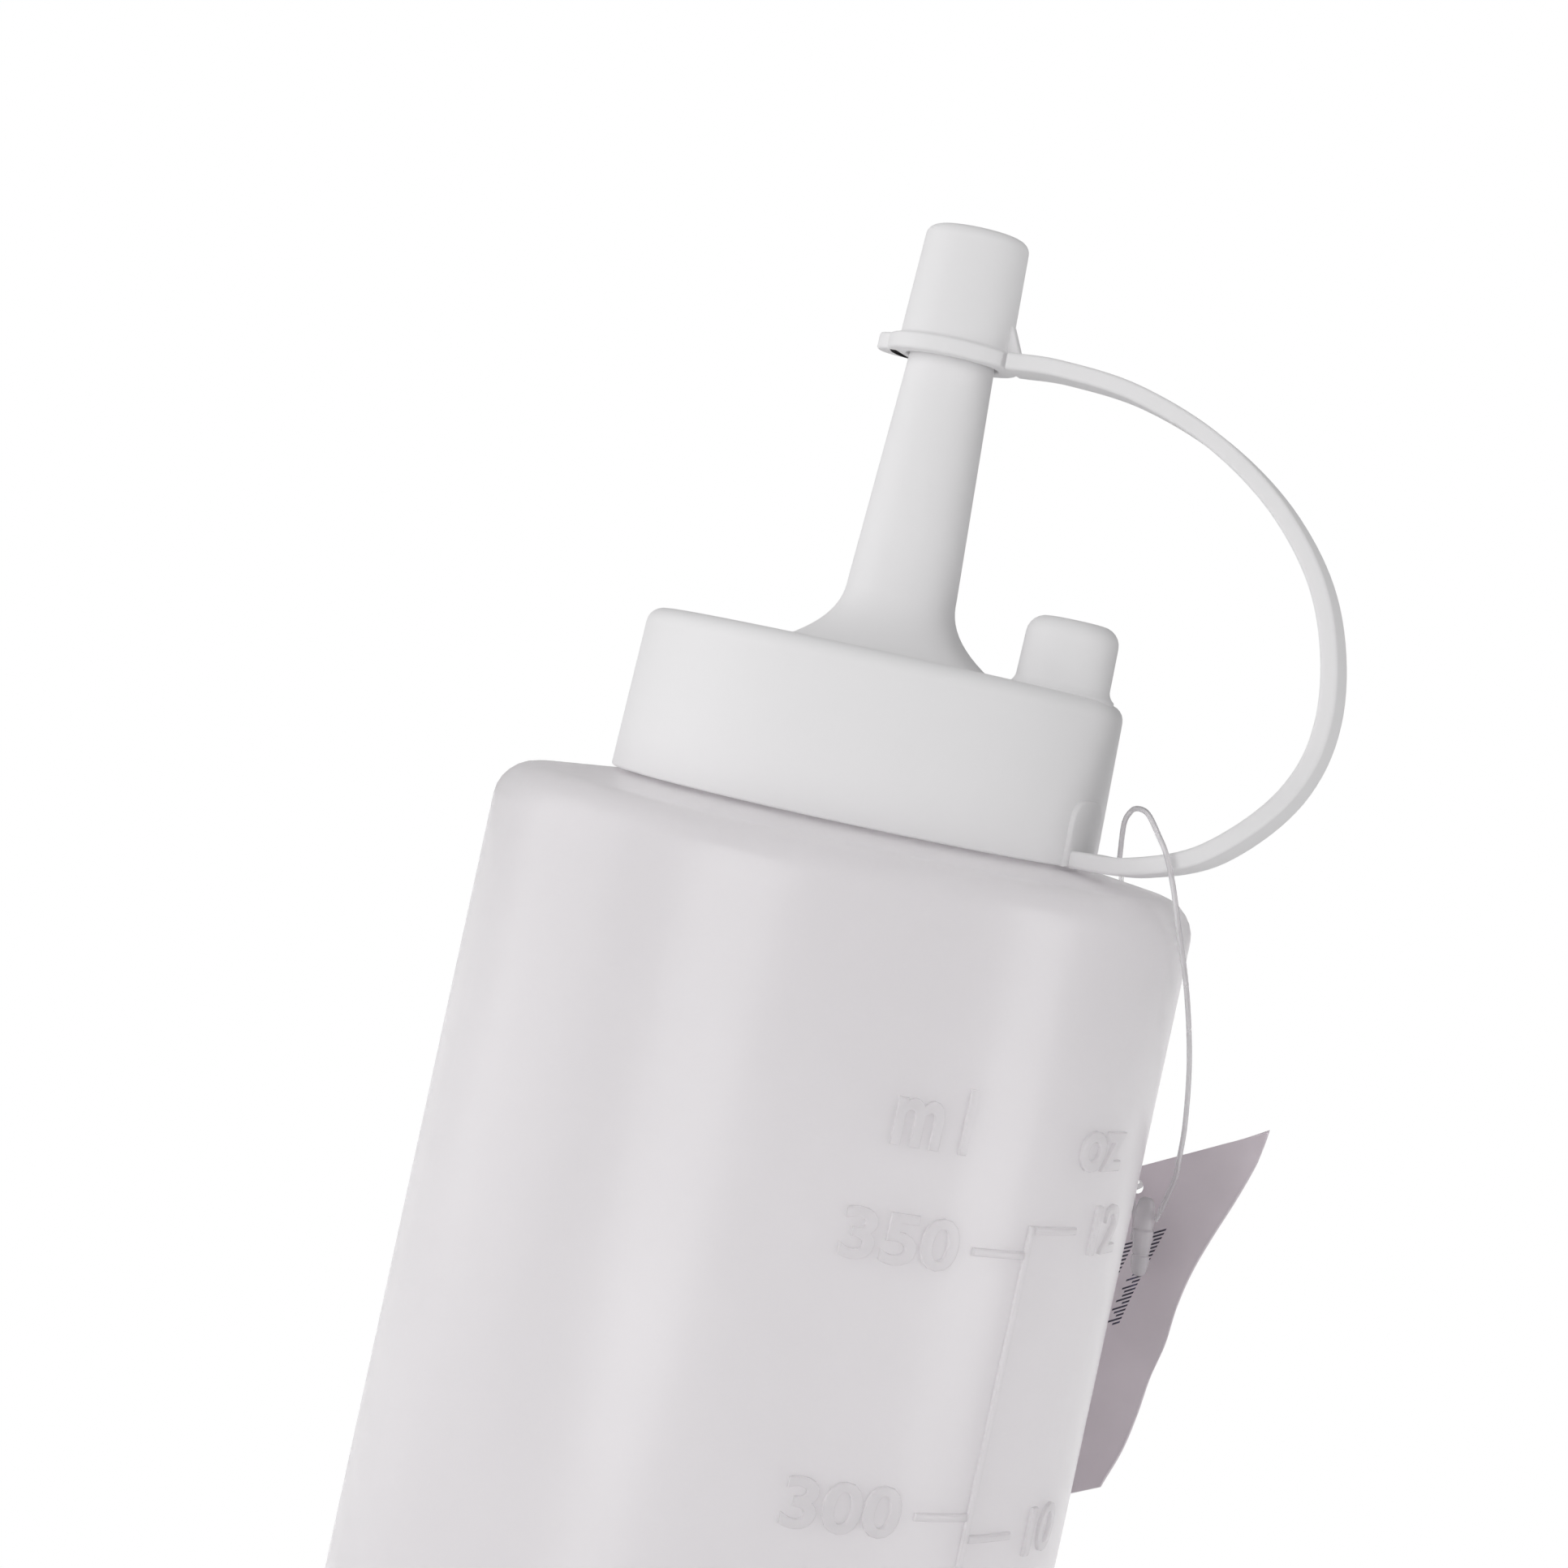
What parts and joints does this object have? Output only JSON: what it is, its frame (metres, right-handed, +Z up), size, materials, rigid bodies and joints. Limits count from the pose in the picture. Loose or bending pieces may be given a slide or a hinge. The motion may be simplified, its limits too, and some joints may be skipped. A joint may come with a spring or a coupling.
{
  "type": "squeeze bottle",
  "caption": "Cylindrical squeeze bottle with a raised volume scale, a screw cap with a long tapered nozzle, and a tip cap on a looped strap.",
  "frame": {"origin": "on the bottle's axis, in the plane of its standing ring, 1 mm below the base's raised panel", "axes": "+Z up along the bottle's axis to the nozzle, +X to the side where the strap and the tag are, -Y to the front"},
  "size_m": [0.0698, 0.058, 0.2205],
  "materials": {
    "milky_plastic": "natural see-through polyethylene with a soft satin shine",
    "cap_plastic": "milky white polyethylene, satin",
    "clear_nylon": "clear nylon",
    "tag_card": "thin grey coated card"
  },
  "bodies": {
    "bottle": {"bottle": "milky_plastic"},
    "screw_cap": {"screw_cap": "cap_plastic", "strap": "cap_plastic", "tag_loop": "clear_nylon", "tag_loop_clasp": "clear_nylon", "hang_tag": "tag_card"},
    "tip_cap": {"tip_cap": "cap_plastic"}
  },
  "joints": [
    {"name": "screw_cap_lift", "type": "slide", "parent": "bottle", "child": "screw_cap", "axis": [0, 0, 1], "range_m": [0, 0.018]},
    {"name": "tip_cap_pull", "type": "slide", "parent": "screw_cap", "child": "tip_cap", "axis": [0, 0, 1], "range_m": [0, 0.014]}
  ]
}
